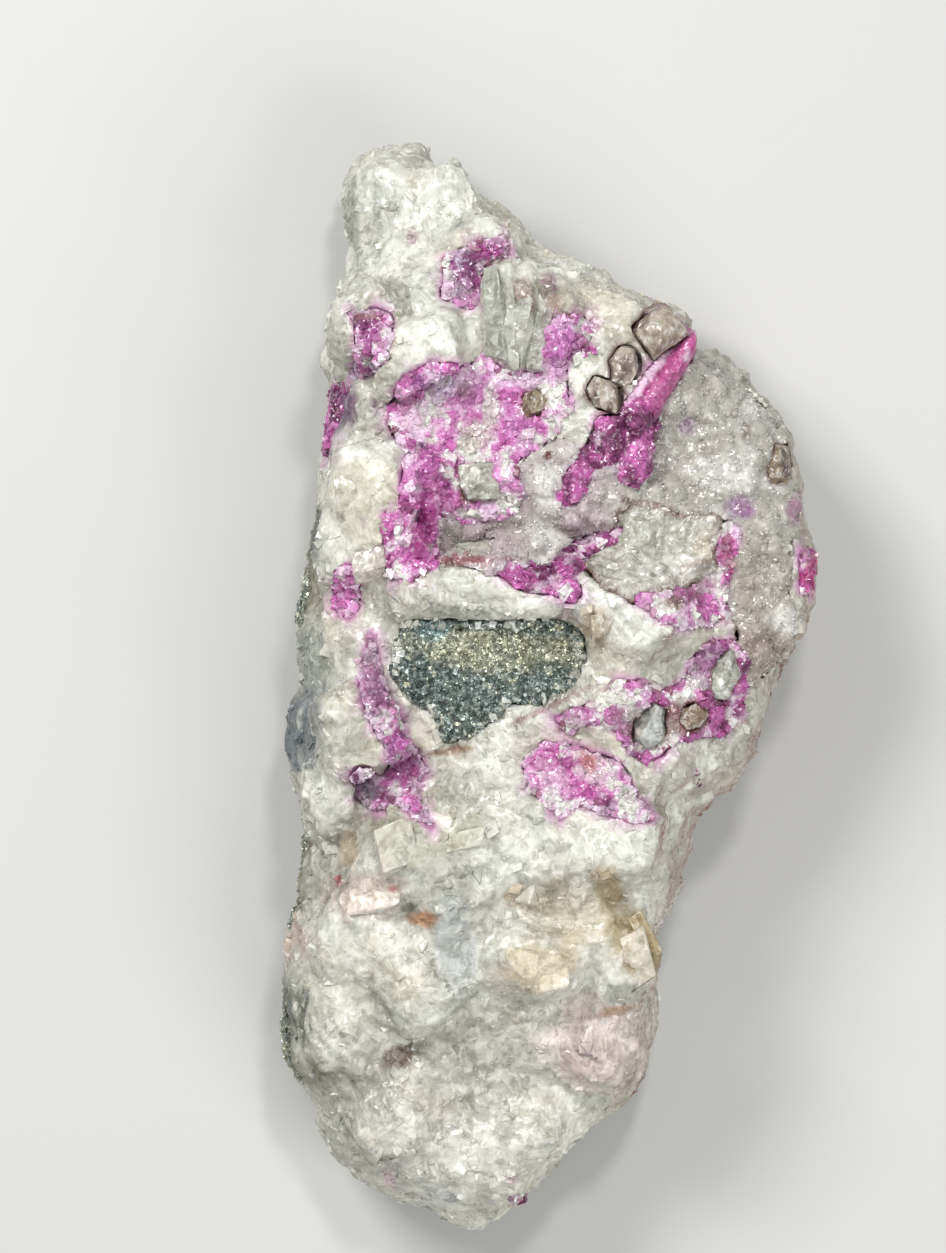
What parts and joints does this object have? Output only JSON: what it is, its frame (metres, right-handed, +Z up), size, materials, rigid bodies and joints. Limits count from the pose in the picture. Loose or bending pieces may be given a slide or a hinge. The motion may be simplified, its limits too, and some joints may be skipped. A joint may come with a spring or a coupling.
{
  "type": "cobaltoan calcite specimen",
  "caption": "Hand-sized rock of white calcite with magenta cobaltoan calcite blades and crusts, a sparkling druse, a sulphide patch and translucent crystals.",
  "frame": {"origin": "centre of the bounding box, at its foot: the flat broken face that the specimen lies on", "axes": "+Z up out of the crystal face, +Y along the specimen towards its narrow top end, +X to the right as seen from above with +Y up the page"},
  "size_m": [0.0546, 0.1114, 0.0315],
  "materials": {
    "calcite": "crystalline white to grey calcite with cleavage faces",
    "cobalt": "glassy magenta cobaltoan calcite",
    "druse": "sparkling grey-lilac quartz druse",
    "sulphide": "glittering steel-grey and brassy sulphide grains",
    "tan_crystal": "translucent tan to brown crystal",
    "grey_crystal": "translucent grey-green calcite"
  },
  "bodies": {
    "root": {"calcite_matrix": "calcite", "cobalt_blade_and_fan": "cobalt", "cobalt_blade_left": "cobalt", "cobalt_crust_left_edge": "cobalt", "cobalt_crust_left_fringe": "cobalt", "cobalt_crust_left_low": "cobalt", "cobalt_crust_lower": "cobalt", "cobalt_crust_middle_right": "cobalt", "cobalt_crust_network": "cobalt", "cobalt_crust_right_loops": "cobalt", "cobalt_crust_right_rim": "cobalt", "cobalt_crust_top_patch": "cobalt", "cobalt_crust_upper_patch": "cobalt", "cobalt_vein_diagonal": "cobalt", "cobalt_vein_lower_left": "cobalt", "grey_calcite_window": "grey_crystal", "grey_crystal_loop_lower": "grey_crystal", "grey_crystal_loop_upper": "grey_crystal", "grey_crystal_network": "grey_crystal", "quartz_druse": "druse", "sulphide_flank_foot": "sulphide", "sulphide_flank_lower": "sulphide", "sulphide_flank_upper": "sulphide", "sulphide_main": "sulphide", "tan_crystal_network": "tan_crystal", "tan_crystal_right_loops": "tan_crystal", "tan_crystal_right_rim": "tan_crystal", "tan_crystal_socket_left": "tan_crystal", "tan_crystal_socket_right": "tan_crystal", "tan_crystal_upper_right": "tan_crystal"}
  },
  "joints": []
}
